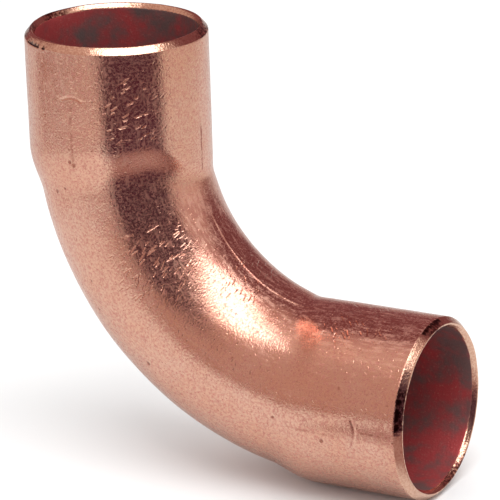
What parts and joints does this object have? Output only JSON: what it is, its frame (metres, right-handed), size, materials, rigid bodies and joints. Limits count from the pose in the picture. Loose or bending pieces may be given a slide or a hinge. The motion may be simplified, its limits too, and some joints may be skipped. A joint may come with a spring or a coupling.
{
  "type": "pipe elbow",
  "caption": "Long-radius 90 degree copper elbow with an expanded solder socket at each end, for joining two tubes at a right angle.",
  "frame": {"origin": "centre of the tube stop in the upper socket, where the end of that tube sits", "axes": "+Z along the upper socket's axis, out of its mouth; +X along the side socket's axis, out of its mouth; the bend lies in the XZ plane"},
  "size_m": [0.0416, 0.0172, 0.0416],
  "materials": {
    "copper": "tumbled satin copper with fine scratches and light tarnish; dull red oxide inside"
  },
  "bodies": {
    "root": {"elbow_body": "copper"}
  },
  "joints": []
}
